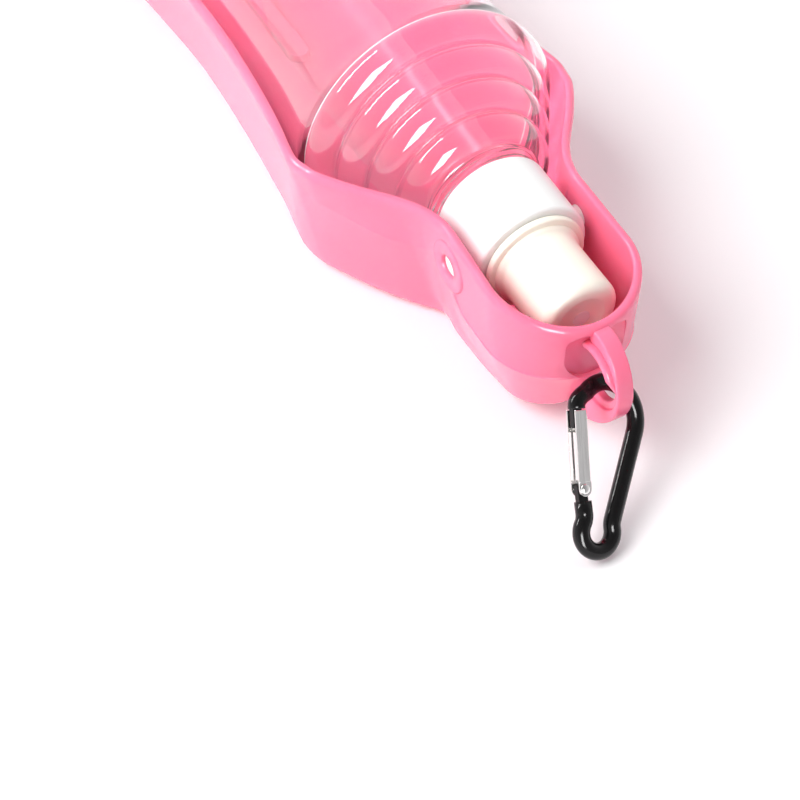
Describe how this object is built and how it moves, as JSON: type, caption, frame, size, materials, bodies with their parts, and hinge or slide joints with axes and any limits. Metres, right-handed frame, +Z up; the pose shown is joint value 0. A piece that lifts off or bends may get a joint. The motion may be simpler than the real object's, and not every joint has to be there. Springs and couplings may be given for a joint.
{
  "type": "dog travel water bottle",
  "caption": "Clear ringed water bottle with a screw cap and push-pull nozzle, hinged in a moulded drinking tray that carries a small snap hook.",
  "frame": {"origin": "on the tray's flat underside, below the back edge of the cap, midway between the side walls", "axes": "+X along the bottle from its base towards the snap hook, +Z up, +Y to the left of +X"},
  "size_m": [0.274, 0.0768, 0.0707],
  "materials": {
    "tray": "smooth glossy pink polypropylene",
    "bottle": "clear blown plastic",
    "gasket": "soft translucent silicone",
    "cap": "satin white polypropylene",
    "nozzle": "soft cream polyethylene",
    "hook": "glossy black anodised rod",
    "steel": "bright plated sheet and wire"
  },
  "bodies": {
    "tray": {"tray": "tray"},
    "cap": {"screw_cap": "cap"},
    "nozzle": {"nozzle": "nozzle"},
    "seal": {"gasket": "gasket"},
    "bottle": {"bottle": "bottle"},
    "hook": {"hook_body": "hook", "gate_rivet": "steel"},
    "gate": {"hook_gate": "steel", "gate_spring": "steel"}
  },
  "joints": [
    {"name": "cap_swing", "type": "hinge", "parent": "tray", "child": "cap", "pos_m": [0.0125, 0, 0.0366], "axis": [0, 1, 0], "range_deg": [0, 95]},
    {"name": "nozzle_pull", "type": "slide", "parent": "cap", "child": "nozzle", "axis": [1, 0, 0], "range_m": [0, 0.003]},
    {"name": "seal_lift", "type": "slide", "parent": "cap", "child": "seal", "axis": [-1, 0, 0], "range_m": [0, 0.0048]},
    {"name": "bottle_screw", "type": "hinge", "parent": "seal", "child": "bottle", "pos_m": [0, 0, 0.0366], "axis": [-1, 0, 0], "range_deg": [0, 540]},
    {"name": "hook_swing", "type": "hinge", "parent": "tray", "child": "hook", "pos_m": [0.05155, 0, 0.0286], "axis": [0, -1, 0], "range_deg": [0, 90]},
    {"name": "gate_open", "type": "hinge", "parent": "hook", "child": "gate", "pos_m": [0.06928, -0.01559, 0.01462], "axis": [-0.7197, -0.2004, -0.6647], "range_deg": [0, 12], "stiffness_Nm_per_rad": 0.02, "springref_deg": -11.46, "deforming": ["gate_spring"]}
  ],
  "couplings": [
    {"joint": "seal_lift", "follows": "bottle_screw", "m_per_rad": 0.0005093}
  ]
}
